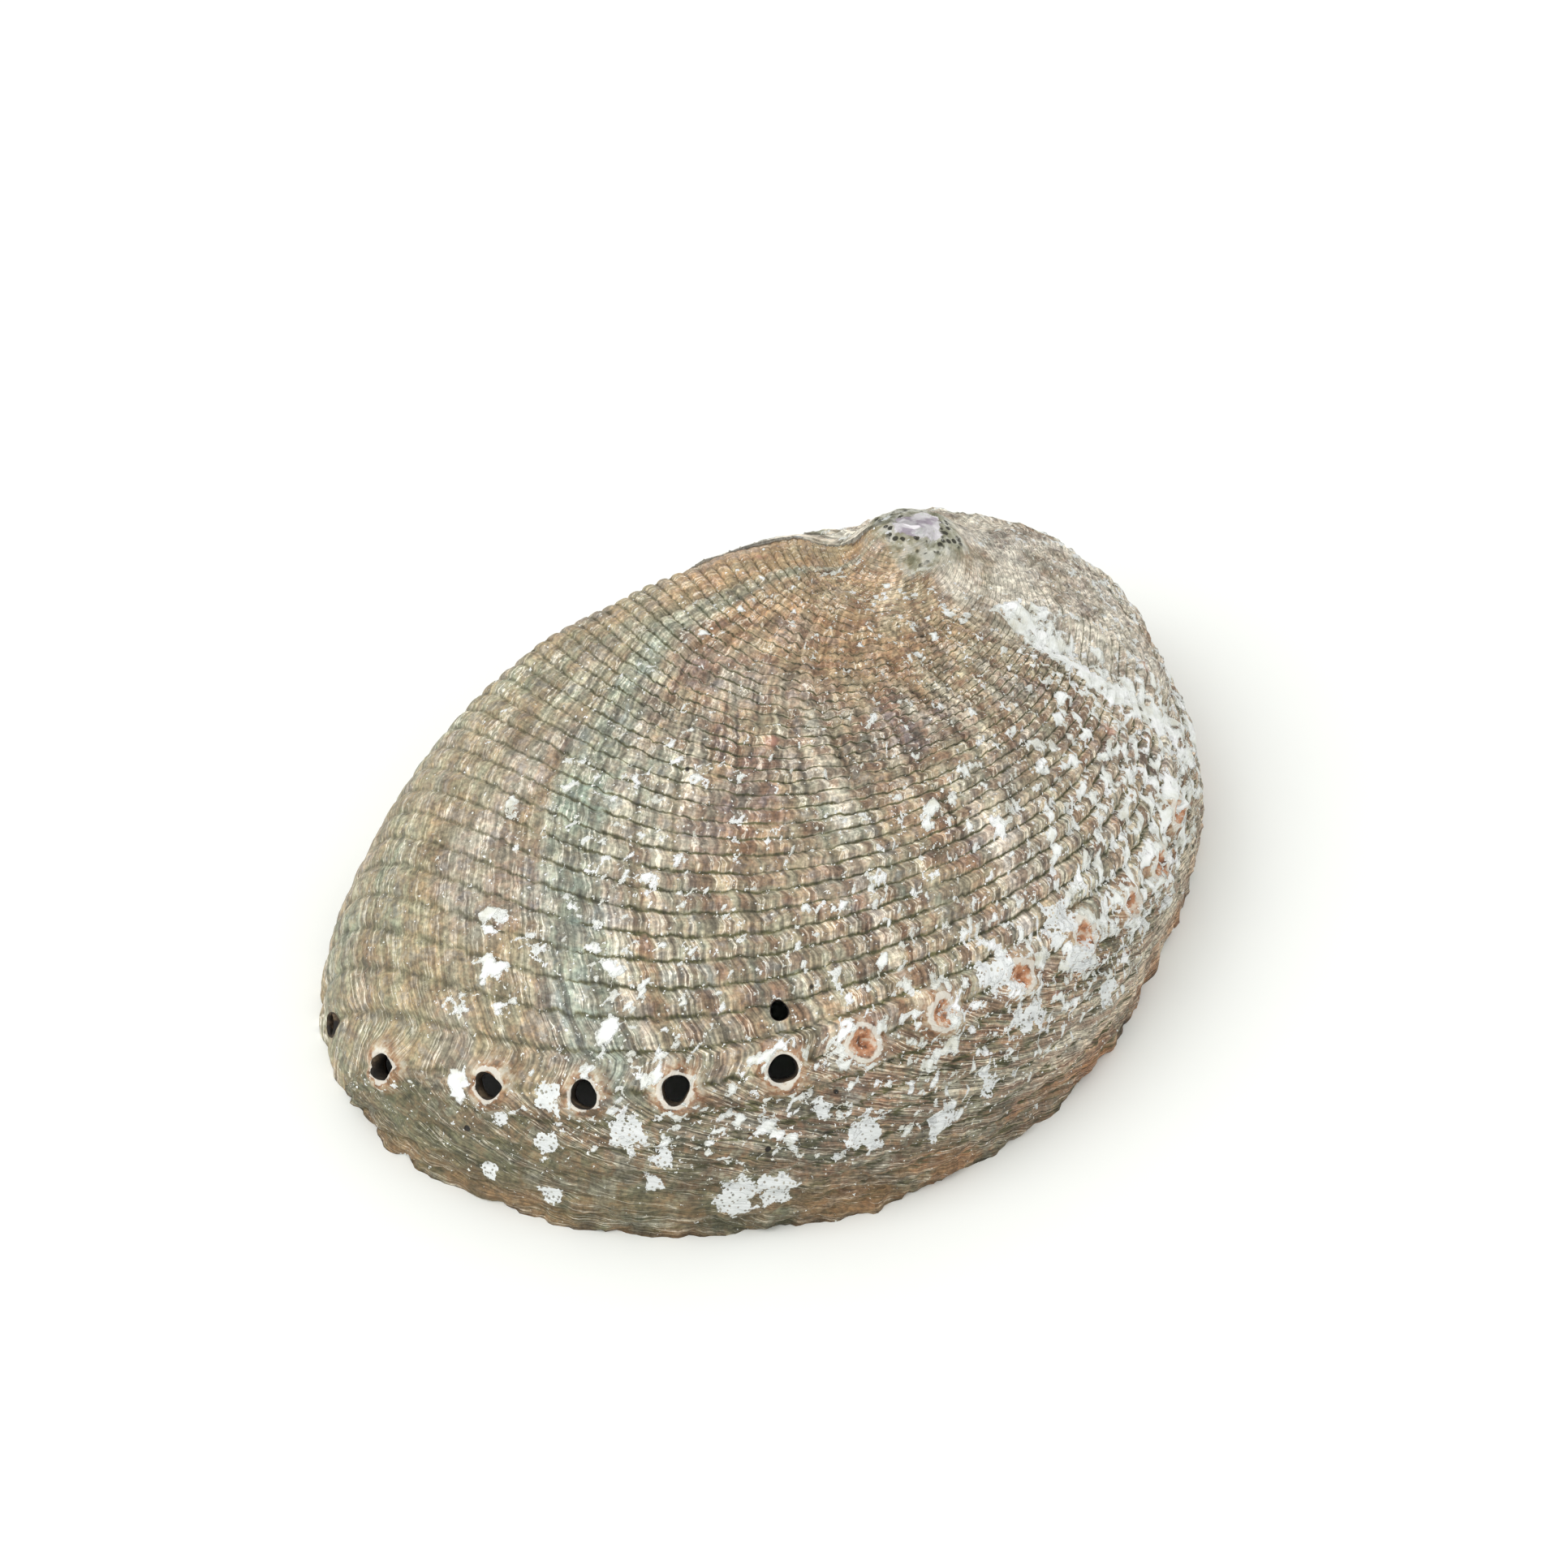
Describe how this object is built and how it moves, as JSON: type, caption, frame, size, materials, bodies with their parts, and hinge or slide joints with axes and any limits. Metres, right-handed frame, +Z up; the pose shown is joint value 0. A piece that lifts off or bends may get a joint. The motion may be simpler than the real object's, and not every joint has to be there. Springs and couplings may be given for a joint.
{
  "type": "abalone shell",
  "caption": "Natural abalone shell: a low ear-shaped spiral bowl with a row of open breathing holes, weathered ribbed outside and pearly inside.",
  "frame": {"origin": "under the middle of the shell's outline, in the plane of its rim", "axes": "+Z up out of the back of the shell, +X along its length towards the spire, so the row of holes is on the -Y side"},
  "size_m": [0.0894, 0.0646, 0.0286],
  "materials": {
    "weathered_shell": "matt, ribbed, brown, olive and teal, with white crust"
  },
  "bodies": {
    "root": {"abalone_shell": "weathered_shell"}
  },
  "joints": []
}
